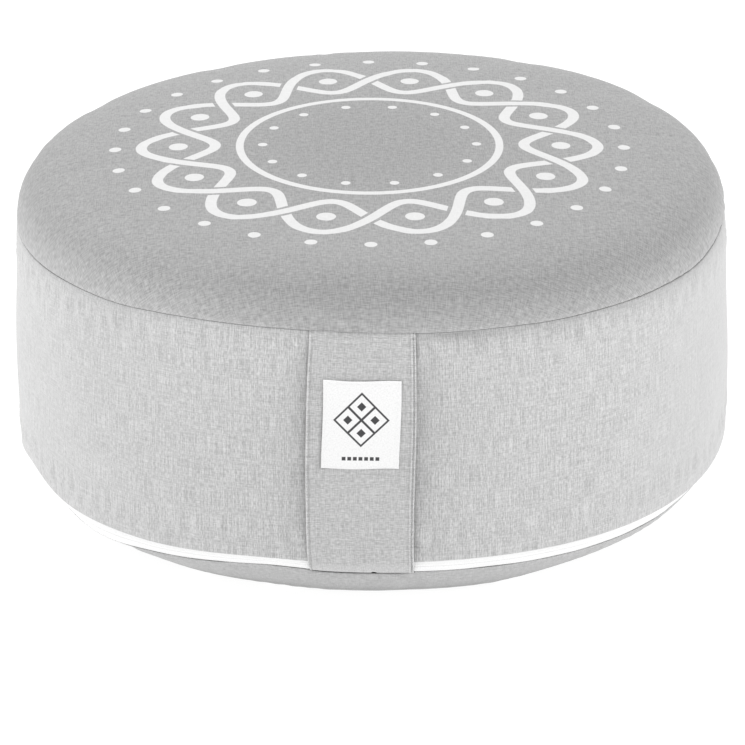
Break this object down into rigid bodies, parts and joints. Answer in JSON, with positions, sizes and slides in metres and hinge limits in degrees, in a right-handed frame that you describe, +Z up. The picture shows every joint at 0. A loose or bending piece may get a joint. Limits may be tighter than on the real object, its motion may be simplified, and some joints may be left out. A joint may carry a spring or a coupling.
{
  "type": "zafu meditation cushion",
  "caption": "Round drum-shaped meditation cushion with a crowned top, deep side band, closed zip round its foot, patterned base and a wide sewn strap handle with a label.",
  "frame": {"origin": "middle of the flat base, on the surface the cushion rests on and on the axis its body is turned round", "axes": "+Z up, -Y towards the strap handle, +X to the right as one faces the handle"},
  "size_m": [0.401, 0.4135, 0.1905],
  "materials": {
    "top_cloth": "mid-grey cotton-linen chambray with a white print",
    "band_cloth": "light grey cotton-linen chambray with fine slubs",
    "base_cloth": "smooth mid-grey cotton with a small white paisley print",
    "zip_tape": "white woven zip tape with a closed nylon coil",
    "label_cloth": "white woven label, bare"
  },
  "bodies": {
    "root": {"side_band": "band_cloth", "top_panel": "top_cloth", "zip": "zip_tape", "lower_band": "band_cloth", "base_panel": "base_cloth", "handle": "band_cloth", "label": "label_cloth"}
  },
  "joints": []
}
